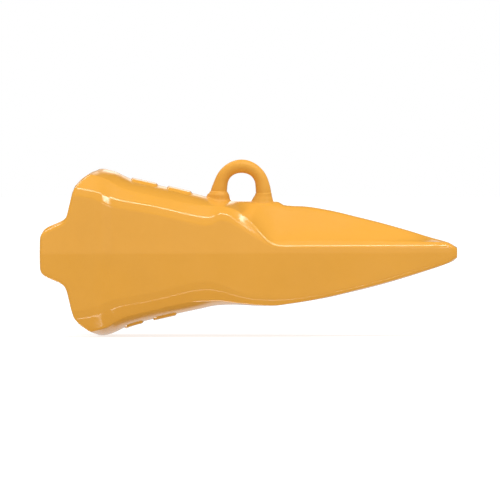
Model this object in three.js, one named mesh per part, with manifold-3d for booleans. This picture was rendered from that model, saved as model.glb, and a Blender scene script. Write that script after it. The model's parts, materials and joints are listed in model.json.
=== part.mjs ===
// Replacement tooth for an excavator bucket: a hollow cast point that slides over an adapter nose,
// a round-bar lifting eye welded on top, and a hammerless screw lock in one side wall.
// Millimetres. +X runs to the digging tip, +Z is up, and the lock is on the +Y side.
// Inside this file x is counted from the rear end of the side lobes; the whole tooth is then moved
// so that the origin is the middle of the seat face, where the adapter nose bears.
import * as THREE from "three";
import { mergeVertices } from "three/addons/utils/BufferGeometryUtils.js";
import Module from "manifold-3d";

const wasm = await Module();
wasm.setup();

// ---- driving dimensions ----
const SEAT_X = 205; // depth of the socket, from the rear of the lobes to the seat face
const GAP = 0.3; // left between pieces that touch

const SIDE_DRAFT = 0.06; // sideways lean of the side walls for each millimetre away from the parting line
const SCOOP_START = 186; // where the body's roof begins to turn into the hollows beside the rib
const SCOOP_FULL = 252; // where the hollows have their full depth
const SCOOP_BEND = { across: 0.61, down: 0.78 }; // control point of a hollow's curve, as shares of it

const PLATE_PROUD = 1.8; // raised blank marking plates
const PLATE_SUNK = 3; // how deep their slabs reach into the casting
const PLATE_HALF_WIDTH = 20;
const TOP_PLATES = [[96, 124], [134, 160]];
const BOTTOM_PLATES = [[89, 109], [119, 144]];

const MOUTH = { x: 58, halfHeight: 68.5, corner: 18 }; // behind it the socket's roof and floor are level
const LAND = { x: 180, halfHeight: 27.5, corner: 9 }; // start of the level lands in front of the taper
const SOCKET_HALF_WIDTH = 63;
const SOCKET_SIDE_TAPER = 0.11; // loss of half width for each millimetre of depth
const SIDE_TAPER_START = 30;

const EYE_X = 212.3; // middle of the lifting eye's hole
const EYE_Z = 68.5;
const EYE_BEND_RADIUS = 22.2; // from the middle of the hole to the middle of the bar
const BAR_RADIUS = 7.1;
const SHOULDER_THINNING = 0.5; // drawn thinner where the bend is tightest
const FOOT_THICKENING = 0.2;
const ROOF_Z = 54; // height of the casting's roof between the eye's feet

const LOCK_X = 110; // lock axis, which runs along Y at z = 0
const BOSS_RADIUS = 33;
const BOSS_FOOT_RADIUS = 50; // the boss is a cone, most of it buried in the wall
const BOSS_FOOT_Y = 64;
const BOSS_FACE_Y = 81;
const BORE_RADIUS = 23;
const COUNTERBORE = { radius: 28.5, y: 61 }; // cut from inside the socket, y is its floor
const RING_GROOVE = { radius: 25, low: 74.6, high: 77.3 };

const PIN_RADIUS = 15;
const PIN_INNER_Y = 56.5;
const PIN_OUTER_Y = 78;
const PIN_CHAMFER = 0.8;
const PIN_TRAVEL = 12; // how far the pin screws in
const PIN_TURN = THREE.MathUtils.degToRad(270);
const CAM_GROOVE_RADIUS = 2.8; // section of the helical groove around the pin
const HEX = { radius: 8.1, floorY: 69 }; // drive socket, radius to the corners: 14 mm across the flats

const COLLAR = { radius: 22.7, flangeRadius: 28, inner: 56, flangeOuter: 59.5, outer: 74.5 };
const DRAG_GROOVE = { radius: 18.4, low: 69, high: 72 };
const DRAG_RING = { radius: 16.8, section: 1.3, y: 70.5 };
const KEY = { radius: 1.7, fromAxis: 25.6, low: 57, high: 65 };
const KEY_HOLE = { low: 50, high: 66 };
const SNAP_RING = { inner: 20.6, outer: 24.6, halfOpening: 0.16 };

const PLUNGER = { radius: 2.3, y: 62.5, end: 18.8 }; // stands up in the collar; end is its top
const PLUNGER_BORE_END = 24;
const SPRING = { inner: 1.2, outer: 2.2, low: 21.2, high: 22.4 };

const SHOE = {
  radius: 11, chamfer: 1.4, tipY: 54.5, edgeY: 55.6, shoulderY: 59.1,
  stem: 3.7, stemEndY: 64.6, neck: 3, neckLow: 60.9, neckHigh: 62.7,
};
const SHOE_PLAY = 0.4; // between the shoe and the hollow in the pin
const SHOE_RING_RADIUS = 5.1;

const PLUG = { stemLow: 70, flange: 11.5, low: 78.3, high: 80, rib: [15, 1.8, 2.6] };

const ROUND = 32; // segments in the lock's turned pieces
const SMALL_ROUND = 20;
const GRIP = 1; // how far a cutting tool reaches past the face that it cuts through

// ---- helpers ----

// Smooth curve through [x, value] points without overshoot (monotone cubic), level beyond its ends.
function curve(points) {
  const slopes = points.slice(1).map(([x, v], i) => (v - points[i][1]) / (x - points[i][0]));
  const tangents = points.map((_, i) => {
    const before = slopes[i - 1] ?? 0;
    const after = slopes[i] ?? 0;
    return before * after <= 0 ? 0 : (2 * before * after) / (before + after);
  });
  return (x) => {
    const last = points.length - 1;
    if (x <= points[0][0]) return points[0][1];
    if (x >= points[last][0]) return points[last][1];
    const i = points.findIndex(([px]) => px > x) - 1;
    const width = points[i + 1][0] - points[i][0];
    const t = (x - points[i][0]) / width;
    const rise = t * t * (3 - 2 * t);
    return (
      points[i][1] * (1 - rise) +
      points[i + 1][1] * rise +
      width * (tangents[i] * t * (1 - t) ** 2 - tangents[i + 1] * t * t * (1 - t))
    );
  };
}

const mirrored = (points) => points.map(([x, z]) => [x, -z]);
const mix = THREE.MathUtils.lerp;

// Closed body through a row of rings with the same number of points, each end closed by a fan.
function skin(rings) {
  const count = rings[0].length;
  const middle = (ring) => ring.reduce((sum, p) => sum.add(p), new THREE.Vector3()).divideScalar(count);
  const points = [middle(rings[0]), ...rings.flat(), middle(rings.at(-1))];
  const at = (ring, k) => 1 + ring * count + (k % count);
  const faces = [];
  for (let k = 0; k < count; k++) {
    faces.push(0, at(0, k), at(0, k + 1));
    faces.push(at(rings.length - 1, k), points.length - 1, at(rings.length - 1, k + 1));
    for (let ring = 0; ring < rings.length - 1; ring++) {
      const [a, b, c, d] = [at(ring, k), at(ring, k + 1), at(ring + 1, k + 1), at(ring + 1, k)];
      faces.push(a, d, c, a, c, b);
    }
  }
  const geometry = new THREE.BufferGeometry().setFromPoints(points);
  geometry.setIndex(faces);
  return geometry;
}

function solid(geometry) {
  const bare = geometry.clone();
  bare.deleteAttribute("normal");
  bare.deleteAttribute("uv");
  const merged = mergeVertices(bare);
  return new wasm.Manifold(
    new wasm.Mesh({
      numProp: 3,
      vertProperties: new Float32Array(merged.attributes.position.array),
      triVerts: new Uint32Array(merged.index.array),
    }),
  );
}

function geometryOf(body) {
  const mesh = body.getMesh();
  const geometry = new THREE.BufferGeometry();
  geometry.setAttribute("position", new THREE.BufferAttribute(mesh.vertProperties, 3));
  geometry.setIndex(new THREE.BufferAttribute(mesh.triVerts, 1));
  geometry.computeVertexNormals();
  return geometry;
}

const cutAway = (body, ...tools) => tools.reduce((left, tool) => left.subtract(solid(tool)), body);

// Body turned about the Y axis from [radius, y] points, listed anticlockwise.
function turned(profile, segments = ROUND) {
  return new THREE.LatheGeometry(profile.map(([r, y]) => new THREE.Vector2(r, y)), segments);
}

const washer = (inner, outer, low, high) =>
  turned([[inner, low], [outer, low], [outer, high], [inner, high], [inner, low]]);

const drill = (radius, low, high, sides = ROUND) =>
  new THREE.CylinderGeometry(radius, radius, high - low, sides).translate(0, (low + high) / 2, 0);

// ---- shape of the casting ----

const UPPER_EDGE_REAR = [
  [36, 69.3], [60.5, 64.7], [70, 60.5], [82, 56.5], [115.7, 50.7], [147, 43.4], [164, 39.6],
];
const ROOF_EDGE_REAR = [
  [40, 84], [54, 82.5], [64, 80], [72, 77], [80, 72], [88, 68], [96, 65.5], [115.7, 61], [167, 50.7],
];

const crest = curve([
  [60, 87.6], [66, 88], [74, 86.3], [81, 83.6], [88, 79.6], [96, 75.8], [116, 71.2], [174, 57.4],
  [188, 54], [250, 53.4], [258, 49.6], [280, 48.2], [307, 43.8], [334, 37.4], [361, 30.6], [388, 23],
  [414, 15], [427, 11.4], [435, 8.2], [440, 5.2],
]);
const upperEdge = curve([
  ...UPPER_EDGE_REAR, [176, 37.9], [183, 39.6], [190, 42.6], [197, 41], [205, 36.2], [218, 26.5],
  [230, 17.6], [238, 12], [246, 8.6], [258, 7.4], [428, 7.4], [436, 5.6], [440, 3.4],
]);
const roofEdge = curve([...ROOF_EDGE_REAR, [185, 49.4], [250, 46]]);

const keel = curve([
  [60, -87.6], [66, -88], [74, -86.4], [81, -83.8], [88, -80.2], [96, -77], [116, -71.6], [168, -60.2],
  [187, -56.4], [204, -55.6], [229, -56.6], [244, -56.7], [266, -54.2], [302, -48.2], [326, -42.8],
  [359, -34.6], [411, -18.8], [432, -11.3], [437, -9], [440, -6],
]);
const lowerEdge = curve([
  ...mirrored(UPPER_EDGE_REAR), [176, -38.6], [190, -41], [204, -45], [218, -48.2], [232, -49.7],
  [260, -49.3], [290, -45.6], [321, -39.4], [341, -35], [380, -24], [412, -14.6], [432, -7.8], [440, -4],
]);
const lowerRoofEdge = curve([
  ...mirrored(ROOF_EDGE_REAR), [187, -50.4], [204, -52.4], [229, -54.8], [244, -55.4], [266, -53],
  [302, -46.7], [326, -41.1], [359, -32.9], [411.5, -17.4], [432, -10.4], [440, -5.6],
]);

const halfWidth = curve([
  [0, 84], [56, 84], [64, 83.2], [76, 79.4], [84, 78.2], [115, 74.8], [180, 67.4], [258, 57.5],
  [330, 45.6], [400, 33.8], [424, 29.6], [434, 26.8], [438, 24.4], [440, 22],
]);
const ribHalfWidth = curve([[188, 17], [232, 16.5], [276, 9.5], [400, 7.6], [440, 7]]);
const ribFoot = curve([
  [188, 52.5], [215, 51.2], [246, 49], [262, 47.4], [280, 46], [307, 41.8], [334, 35.6], [361, 28.9],
  [388, 21.4], [414, 13.6], [427, 10.2], [435, 7.2], [440, 4.6],
]);
const upperChamfer = curve([[64, 17], [84, 13], [110, 12]]);
const lowerChamfer = curve([[176, 12], [240, 5], [432, 5], [440, 3]]);
const edgeLean = curve([[176, 3], [246, 0.5]]); // extra lean of the narrow band below each side-wall edge
const bandHeight = curve([[176, 8.5], [246, 1.6], [430, 1.6], [440, 1]]);

// Rear end of the casting at a height above or below the parting line: a lobe in the middle of each
// side wall, then the shoulder of the collar, then the mouth's rim, which runs forward over the corners.
const rimX = curve([
  [0, 0], [16, 0.3], [20.5, 1.6], [23.5, 4.6], [26, 9], [28, 13.6], [30, 18.6], [32.5, 23.4], [36, 26.6],
  [41, 28.6], [50, 30.8], [69, 35.8], [76.5, 41.5], [80, 46], [84.5, 52.5], [87.6, 60],
]);

const CROWN_STEPS = 6;
// Heights of the points down a side wall, as shares of the height where its narrow band begins.
const WALL_SHARES = [0.82, 0.6, 0.5, 0.436, 0.37, 0.22];

// Share reached along a parabola from 0 to 1 that starts out towards a control point.
const bent = (share, control) => 2 * share * (1 - share) * control + share * share;

// One quarter of the outline at x, from the middle of the roof to the parting line, as [y, z] pairs.
function outlineQuarter({ x, top, edge, roof, chamfer, scoop }) {
  const wall = halfWidth(x);
  const edgeZ = edge(x);
  const side = Math.sign(edgeZ);
  const edgeY = wall - SIDE_DRAFT * Math.abs(edgeZ) - edgeLean(x);
  const bandZ = edgeZ - side * bandHeight(x);
  const roofY = edgeY - chamfer;
  const rib = ribHalfWidth(x);
  const quarter = [];
  for (let i = 0; i <= CROWN_STEPS; i++) {
    const share = i / CROWN_STEPS;
    const crown = [roofY * share, mix(roof(x), top(x), 1 - share * share)];
    const down = Math.max(i - 1, 0) / CROWN_STEPS;
    const hollow = [
      mix(rib, edgeY, bent(down, SCOOP_BEND.across)),
      mix(ribFoot(x), edgeZ, bent(down, SCOOP_BEND.down)),
    ];
    const [y, z] = i === 0 ? [0, top(x)] : hollow;
    quarter.push([mix(crown[0], y, scoop), mix(crown[1], z, scoop)]);
  }
  quarter.push([edgeY, edgeZ]);
  quarter.push([wall - SIDE_DRAFT * Math.abs(bandZ), bandZ]);
  for (const share of WALL_SHARES) {
    quarter.push([wall - SIDE_DRAFT * Math.abs(bandZ) * share, bandZ * share]);
  }
  return quarter;
}

// Half outline at x, from the middle of the roof round the +Y side to the middle of the keel.
function outlineHalf(x) {
  const scoop = THREE.MathUtils.smoothstep(x, SCOOP_START, SCOOP_FULL);
  const upper = outlineQuarter({
    x, top: crest, edge: upperEdge, roof: roofEdge, chamfer: upperChamfer(x), scoop,
  });
  const lower = outlineQuarter({
    x, top: keel, edge: lowerEdge, roof: lowerRoofEdge, chamfer: lowerChamfer(x), scoop: 0,
  });
  return [...upper, [halfWidth(x), 0], ...lower.reverse()];
}

const taperShare = (x) => THREE.MathUtils.clamp((x - MOUTH.x) / (LAND.x - MOUTH.x), 0, 1);
const socketHalfHeight = (x) => mix(MOUTH.halfHeight, LAND.halfHeight, taperShare(x));
const socketCorner = (x) => mix(MOUTH.corner, LAND.corner, taperShare(x));
const socketHalfWidth = (x) => SOCKET_HALF_WIDTH - SOCKET_SIDE_TAPER * Math.max(x - SIDE_TAPER_START, 0);

// Half outline of the socket at x, with one point for each point of outlineHalf.
function socketHalf(x) {
  const [wide, high, corner] = [socketHalfWidth(x), socketHalfHeight(x), socketCorner(x)];
  const quarter = [];
  for (let i = 0; i < CROWN_STEPS; i++) quarter.push([((wide - corner) * i) / CROWN_STEPS, high]);
  for (const degrees of [90, 60, 30]) {
    const angle = THREE.MathUtils.degToRad(degrees);
    quarter.push([wide - corner + corner * Math.cos(angle), high - corner + corner * Math.sin(angle)]);
  }
  for (const share of WALL_SHARES) quarter.push([wide, ((high - corner) * share) / WALL_SHARES[0]]);
  return [...quarter, [wide, 0], ...quarter.map(([y, z]) => [y, -z]).reverse()];
}

// Full ring from half outlines: xs holds each point's x.
function ring(half, xs) {
  const right = half.map(([y, z], i) => new THREE.Vector3(xs[i], y, z));
  const left = right.slice(1, -1).map((p) => new THREE.Vector3(p.x, -p.y, p.z)).reverse();
  return [...right, ...left];
}

const level = (half, x) => ring(half(x), half(x).map(() => x));

const RIM_PASSES = 8; // enough for the search below to settle

// The rim: every point sits where its own height meets the rear profile.
function rimPlaces() {
  return outlineHalf(MOUTH.x).map((_, i) => {
    let x = SIDE_TAPER_START;
    for (let pass = 0; pass < RIM_PASSES; pass++) x = rimX(Math.abs(outlineHalf(x)[i][1]));
    return x;
  });
}

const SOCKET_STATIONS = [SEAT_X, LAND.x, 140, 100, 76];
const OUTER_STATIONS = [
  66, 73, 80, 87, 96, 116, 147, 165, 176, 184, 191, 198, 206, 214, 222, 230, 238, 246, 254, 262, 282,
  307, 334, 361, 388, 412, 427, 436, 440,
];

// Slab that follows the roof or the keel and stands proud of it.
function markingPlate([from, to], top, roof, edge, chamfer) {
  const side = Math.sign(top(from));
  const across = [-1, -0.6, -0.2, 0.2, 0.6, 1].map((share) => share * PLATE_HALF_WIDTH);
  const rings = [0, 0.5, 1].map((share) => {
    const x = mix(from, to, share);
    const roofY = halfWidth(x) - SIDE_DRAFT * Math.abs(edge(x)) - edgeLean(x) - chamfer;
    const surface = (y) => mix(top(x), roof(x), (y / roofY) ** 2);
    const outer = across.map((y) => new THREE.Vector3(x, y, surface(y) + side * PLATE_PROUD));
    const inner = across.map((y) => new THREE.Vector3(x, y, surface(y) - side * PLATE_SUNK)).reverse();
    return side > 0 ? [...outer, ...inner] : [...outer, ...inner].reverse();
  });
  return skin(rings);
}

function castingShell() {
  const places = rimPlaces();
  const innerRim = ring(places.map((x, i) => socketHalf(x)[i]), places);
  const outerRim = ring(places.map((x, i) => outlineHalf(x)[i]), places);
  return skin([
    ...SOCKET_STATIONS.map((x) => level(socketHalf, x)),
    innerRim,
    outerRim,
    ...OUTER_STATIONS.map((x) => level(outlineHalf, x)),
  ]);
}

const LOCK_CUT_START = 40; // the lock's cuts start well inside the socket

const keyHole = () =>
  drill(KEY.radius + GAP, KEY_HOLE.low, KEY_HOLE.high, SMALL_ROUND).translate(-KEY.fromAxis, 0, 0);

function toothPoint() {
  const boss = new THREE.CylinderGeometry(BOSS_RADIUS, BOSS_FOOT_RADIUS, BOSS_FACE_Y - BOSS_FOOT_Y, ROUND)
    .translate(LOCK_X, (BOSS_FACE_Y + BOSS_FOOT_Y) / 2, 0);
  let body = solid(castingShell()).add(solid(boss));
  for (const span of TOP_PLATES) {
    body = body.add(solid(markingPlate(span, crest, roofEdge, upperEdge, upperChamfer(span[0]))));
  }
  for (const span of BOTTOM_PLATES) {
    body = body.add(solid(markingPlate(span, keel, lowerRoofEdge, lowerEdge, lowerChamfer(span[0]))));
  }
  return cutAway(
    body,
    drill(BORE_RADIUS, LOCK_CUT_START, BOSS_FACE_Y + GRIP).translate(LOCK_X, 0, 0),
    drill(COUNTERBORE.radius, LOCK_CUT_START, COUNTERBORE.y).translate(LOCK_X, 0, 0),
    drill(RING_GROOVE.radius, RING_GROOVE.low, RING_GROOVE.high).translate(LOCK_X, 0, 0),
    keyHole().translate(LOCK_X, 0, 0),
  );
}

// ---- lifting eye ----

// The legs' middle line, as [distance from EYE_X, z, bar radius]: up the rear leg, and down the front leg.
const REAR_LEG = [[-25, 50, 9], [-24.4, 60, 8.8], [-23.8, 65, 8.5], [-22.9, 68.5, 8]];
const FRONT_LEG = [[22.6, 68.5, 7.7], [23.1, 65, 8], [23.4, 60, 8.2], [24.1, 50, 8.4]];
const BEND = { start: 165, end: 15, step: 15 }; // degrees, from the front

// Middle line of the whole bar, as [x, z, bar radius].
function barRoute(extra) {
  const bend = [];
  for (let degrees = BEND.start; degrees >= BEND.end; degrees -= BEND.step) {
    const angle = THREE.MathUtils.degToRad(degrees);
    const thinner = SHOULDER_THINNING * Math.sin(2 * angle) ** 2;
    const thicker = FOOT_THICKENING * (1 - Math.sin(angle)) ** 2;
    const x = EYE_BEND_RADIUS * Math.cos(angle);
    const z = EYE_Z + EYE_BEND_RADIUS * Math.sin(angle);
    bend.push([x, z, BAR_RADIUS - thinner + thicker]);
  }
  return [...REAR_LEG, ...bend, ...FRONT_LEG].map(([x, z, radius]) => [EYE_X + x, z, radius + extra]);
}

function bentBar(extra = 0, sides = 16) {
  const route = barRoute(extra);
  const rings = route.map(([x, z, radius], i) => {
    const [before, after] = [route[Math.max(i - 1, 0)], route[Math.min(i + 1, route.length - 1)]];
    const run = new THREE.Vector3(after[0] - before[0], 0, after[1] - before[1]).normalize();
    const across = new THREE.Vector3(0, 1, 0);
    const out = new THREE.Vector3().crossVectors(across, run);
    return Array.from({ length: sides }, (_, k) => {
      const angle = (-2 * Math.PI * k) / sides;
      return new THREE.Vector3(x, 0, z)
        .addScaledVector(out, radius * Math.cos(angle))
        .addScaledVector(across, radius * Math.sin(angle));
    });
  });
  return skin(rings);
}

// What the eye and its welds are fitted to: the casting, moved up by the gap.
const raisedCasting = () => castingShell().translate(0, 0, GAP);

const liftingEye = () => cutAway(solid(bentBar()), raisedCasting());

// Flanks of the welds, as [distance from the middle of the leg, height above the roof], from the foot up.
const REAR_FLANK = [[12.6, 0.9], [12, 2], [11.6, 3.6], [11.1, 5.6], [10, 7.6], [9.1, 9.6]];
const FRONT_FLANK = [[11.3, 0.9], [10.8, 2], [10.2, 3.6], [9.3, 5.6], [8.8, 7.6], [8.6, 9.6]];
const WELD_DEPTH = 6; // how far a weld starts below the roof, before the roof is cut out of it

// Weld around the foot of one leg: a flared collar that leans as the leg does.
function eyeWeld(x, lean, flank) {
  const [footRadius] = flank[0];
  const [, top] = flank.at(-1);
  const leaning = new THREE.Matrix4().set(
    1, 0, lean, x,
    0, 1, 0, 0,
    0, 0, 1, ROOF_Z,
    0, 0, 0, 1,
  );
  const flare = turned([[0, -WELD_DEPTH], [footRadius, -WELD_DEPTH], ...flank, [0, top]])
    .rotateX(Math.PI / 2)
    .applyMatrix4(leaning);
  return cutAway(solid(flare), bentBar(GAP), raisedCasting());
}

// ---- lock, about its own axis ----

function lockCollar() {
  const bore = PIN_RADIUS + GAP;
  const profile = [
    [bore, COLLAR.inner], [COLLAR.flangeRadius, COLLAR.inner], [COLLAR.flangeRadius, COLLAR.flangeOuter],
    [COLLAR.radius, COLLAR.flangeOuter], [COLLAR.radius, COLLAR.outer], [bore, COLLAR.outer],
    [bore, DRAG_GROOVE.high], [DRAG_GROOVE.radius, DRAG_GROOVE.high], [DRAG_GROOVE.radius, DRAG_GROOVE.low],
    [bore, DRAG_GROOVE.low], [bore, COLLAR.inner],
  ];
  const plungerBore = drill(PLUNGER.radius + GAP, PIN_RADIUS - GRIP, PLUNGER_BORE_END, SMALL_ROUND);
  return cutAway(solid(turned(profile)), upright(plungerBore), keyHole());
}

// Turns a piece made along the lock's axis so that it points up, in the plane of the guide plunger.
const upright = (geometry) => geometry.rotateX(Math.PI / 2).translate(0, PLUNGER.y, 0);

function collarGasket() {
  const gasket = washer(
    COLLAR.radius + GAP, COUNTERBORE.radius - GAP, COLLAR.flangeOuter + GAP, COUNTERBORE.y - GAP,
  );
  return cutAway(solid(gasket), keyHole());
}

const collarKey = () =>
  solid(drill(KEY.radius, KEY.low, KEY.high, SMALL_ROUND).translate(-KEY.fromAxis, 0, 0));

// Open spring ring in the groove outside the collar.
function snapRing() {
  const { inner, outer, halfOpening } = SNAP_RING;
  const outline = new THREE.Shape();
  outline.absarc(0, 0, outer, halfOpening, 2 * Math.PI - halfOpening, false);
  outline.absarc(0, 0, inner, 2 * Math.PI - halfOpening, halfOpening, true);
  const depth = RING_GROOVE.high - RING_GROOVE.low - 2 * GAP;
  return new THREE.ExtrudeGeometry(outline, { depth, bevelEnabled: false, curveSegments: 40 })
    .rotateX(-Math.PI / 2)
    .translate(0, RING_GROOVE.low + GAP, 0);
}

// Path of the guide plunger around the pin: three quarters of a turn, one travel long.
class CamPath extends THREE.Curve {
  getPoint(t, target = new THREE.Vector3()) {
    const angle = PIN_TURN * t;
    const y = PLUNGER.y + PIN_TRAVEL * t;
    return target.set(PIN_RADIUS * Math.sin(angle), y, PIN_RADIUS * Math.cos(angle));
  }
}

function camGroove() {
  const section = new THREE.Shape().absarc(0, 0, CAM_GROOVE_RADIUS, 0, 2 * Math.PI);
  const path = new CamPath();
  const sweep = new THREE.ExtrudeGeometry(section, { steps: 24, extrudePath: path, curveSegments: 8 });
  const ends = [0, 1].map((t) => {
    const { x, y, z } = path.getPoint(t);
    return new THREE.SphereGeometry(CAM_GROOVE_RADIUS, 12, 8).translate(x, y, z);
  });
  return [sweep, ...ends];
}

function lockPin() {
  const stemBore = SHOE.stem + SHOE_PLAY;
  const ringBore = SHOE_RING_RADIUS + GAP;
  const shoeBore = SHOE.radius + SHOE_PLAY;
  const stemBoreEnd = SHOE.stemEndY + SHOE_PLAY;
  const shoeFloor = SHOE.shoulderY + GAP;
  const chamfered = PIN_RADIUS - PIN_CHAMFER;
  const profile = [
    [0, stemBoreEnd], [stemBore, stemBoreEnd], [stemBore, SHOE.neckHigh], [ringBore, SHOE.neckHigh],
    [ringBore, SHOE.neckLow], [stemBore, SHOE.neckLow], [stemBore, shoeFloor], [shoeBore, shoeFloor],
    [shoeBore, PIN_INNER_Y], [chamfered, PIN_INNER_Y], [PIN_RADIUS, PIN_INNER_Y + PIN_CHAMFER],
    [PIN_RADIUS, PIN_OUTER_Y - PIN_CHAMFER], [chamfered, PIN_OUTER_Y], [0, PIN_OUTER_Y],
  ];
  const driveSocket = drill(HEX.radius, HEX.floorY, PIN_OUTER_Y + GRIP, 6);
  return cutAway(solid(turned(profile)), driveSocket, ...camGroove());
}

const thrustShoe = () =>
  turned([
    [0, SHOE.tipY], [SHOE.radius - SHOE.chamfer, SHOE.tipY], [SHOE.radius, SHOE.edgeY],
    [SHOE.radius, SHOE.shoulderY], [SHOE.stem, SHOE.shoulderY], [SHOE.stem, SHOE.neckLow],
    [SHOE.neck, SHOE.neckLow], [SHOE.neck, SHOE.neckHigh], [SHOE.stem, SHOE.neckHigh],
    [SHOE.stem, SHOE.stemEndY], [0, SHOE.stemEndY],
  ]);

const shoeRing = () => washer(SHOE.neck + GAP, SHOE_RING_RADIUS, SHOE.neckLow + GAP, SHOE.neckHigh - GAP);

function dragRing() {
  const { radius, section, y } = DRAG_RING;
  const points = Array.from({ length: 8 }, (_, i) => {
    const angle = (2 * Math.PI * i) / 8;
    return [radius + section * Math.cos(angle), y + section * Math.sin(angle)];
  });
  return turned([...points, points[0]]);
}

// Pin with a round nose that rides in the cam groove.
function guidePlunger() {
  const nose = [-60, -30, 0].map((degrees) => {
    const angle = THREE.MathUtils.degToRad(degrees);
    return [PLUNGER.radius * Math.cos(angle), PIN_RADIUS + PLUNGER.radius * Math.sin(angle)];
  });
  const tip = [0, PIN_RADIUS - PLUNGER.radius];
  return upright(turned([tip, ...nose, [PLUNGER.radius, PLUNGER.end], [0, PLUNGER.end]], SMALL_ROUND));
}

const plungerSpring = () => upright(washer(SPRING.inner, SPRING.outer, SPRING.low, SPRING.high));

// Rubber plug that keeps dirt out of the drive socket, with a rib to pull it by.
function drivePlug() {
  const stem = drill(HEX.radius - 0.5, PLUG.stemLow, PLUG.low + GRIP, 6);
  const flange = turned([
    [0, PLUG.low], [PLUG.flange - 0.3, PLUG.low], [PLUG.flange, PLUG.low + 0.4],
    [PLUG.flange, PLUG.high - 0.6], [PLUG.flange - 0.9, PLUG.high], [0, PLUG.high],
  ]);
  const rib = new THREE.BoxGeometry(...PLUG.rib).translate(0, PLUG.high, 0);
  return solid(stem).add(solid(flange)).add(solid(rib));
}

// ---- assembly ----

const PAINT = { color: 0xe0912c, roughness: 0.28, metalness: 0.1 };
const STEEL = { color: 0x8f9194, roughness: 0.42, metalness: 0.9 };
const DARK_STEEL = { color: 0x3c3d40, roughness: 0.5, metalness: 0.8 };
const RUBBER = { color: 0x1c1c1e, roughness: 0.8, metalness: 0 };

function piece(name, shape, finish) {
  const geometry = shape.isBufferGeometry ? shape : geometryOf(shape);
  const mesh = new THREE.Mesh(geometry, new THREE.MeshStandardMaterial(finish));
  mesh.name = name;
  return mesh;
}

const lock = new THREE.Group();
lock.position.x = LOCK_X;
lock.add(
  piece("lock_collar", lockCollar(), STEEL),
  piece("collar_gasket", collarGasket(), RUBBER),
  piece("collar_key", collarKey(), DARK_STEEL),
  piece("collar_snap_ring", snapRing(), DARK_STEEL),
  piece("lock_pin", lockPin(), STEEL),
  piece("guide_plunger", guidePlunger(), DARK_STEEL),
  piece("plunger_spring", plungerSpring(), DARK_STEEL),
  piece("pin_drag_ring", dragRing(), RUBBER),
  piece("thrust_shoe", thrustShoe(), STEEL),
  piece("shoe_ring", shoeRing(), DARK_STEEL),
  piece("drive_plug", drivePlug(), RUBBER),
);

const tooth = new THREE.Group();
tooth.position.x = -SEAT_X;
tooth.add(
  piece("tooth_point", toothPoint(), PAINT),
  piece("lifting_eye", liftingEye(), PAINT),
  piece("eye_weld_rear", eyeWeld(EYE_X - 24.2, 0, REAR_FLANK), PAINT),
  piece("eye_weld_front", eyeWeld(EYE_X + 22, 0.15, FRONT_FLANK), PAINT),
  lock,
);

export default tooth;
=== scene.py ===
import json
import math

import bmesh
import bpy
import numpy as np
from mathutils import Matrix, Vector


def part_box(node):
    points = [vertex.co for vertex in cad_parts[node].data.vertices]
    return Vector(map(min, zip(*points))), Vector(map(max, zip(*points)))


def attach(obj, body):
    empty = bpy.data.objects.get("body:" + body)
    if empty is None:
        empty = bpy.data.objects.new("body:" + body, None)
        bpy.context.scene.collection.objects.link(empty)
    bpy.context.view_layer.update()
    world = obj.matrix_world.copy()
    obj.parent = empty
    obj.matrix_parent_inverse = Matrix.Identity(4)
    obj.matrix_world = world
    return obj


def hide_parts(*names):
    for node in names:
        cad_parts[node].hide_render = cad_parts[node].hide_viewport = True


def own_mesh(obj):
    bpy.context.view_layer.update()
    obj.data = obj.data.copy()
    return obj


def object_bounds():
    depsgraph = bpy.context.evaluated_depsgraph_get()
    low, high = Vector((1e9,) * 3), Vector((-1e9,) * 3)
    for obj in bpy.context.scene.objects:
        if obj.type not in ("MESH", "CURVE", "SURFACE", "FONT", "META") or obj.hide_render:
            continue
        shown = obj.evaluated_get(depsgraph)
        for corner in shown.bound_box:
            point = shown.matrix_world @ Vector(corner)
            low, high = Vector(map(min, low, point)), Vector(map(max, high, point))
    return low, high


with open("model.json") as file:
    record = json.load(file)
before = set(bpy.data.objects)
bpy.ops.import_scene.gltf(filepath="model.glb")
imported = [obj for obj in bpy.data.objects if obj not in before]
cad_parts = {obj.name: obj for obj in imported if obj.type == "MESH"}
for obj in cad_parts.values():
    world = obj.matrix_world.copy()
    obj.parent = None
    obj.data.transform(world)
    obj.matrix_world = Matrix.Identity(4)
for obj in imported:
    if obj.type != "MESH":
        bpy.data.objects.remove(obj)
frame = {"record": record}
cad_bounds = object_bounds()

# Lengths below are in millimetres, with x counted from the rear end of the side lobes, as a foundry
# drawing would give them. place() turns them into the frame's metres.
MM = 0.001
tooth_low, tooth_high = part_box("tooth_point")
pin_low, pin_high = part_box("lock_pin")
REAR_X = tooth_low.x
SEAT_X = -REAR_X / MM
TIP_X = (tooth_high.x - REAR_X) / MM
LOCK_X = ((pin_low.x + pin_high.x) / 2 - REAR_X) / MM
LOCK = (LOCK_X, 0, 0)
FLOOR_Z = cad_bounds[0].z
GAP = 0.3  # left between pieces that touch


def named(entries, name):
    return next(entry for entry in entries if entry["name"] == name)


BOSS_FACE_Y = named(frame["record"]["mounts"], "lock_boss_face")["pos_m"][1] / MM


def place(points):
    """Millimetres from the rear of the lobes, as an array (..., 3), to metres in the frame."""
    return np.asarray(points, float) * MM + np.array([REAR_X, 0, 0])


def mix(a, b, t):
    return a + (b - a) * t


def smoothstep(x, low, high):
    t = np.clip((x - low) / (high - low), 0, 1)
    return t * t * (3 - 2 * t)


# ---------------------------------------------------------------- curves along the tooth

FINE = 0.5  # step of the tables that the curves and outlines are kept in
LEVEL_ENDS = 20  # how far a curve is carried on level past its first and last points
BELL_WIDTHS = 4  # widths of a bell curve that a blur takes in on each side


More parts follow.
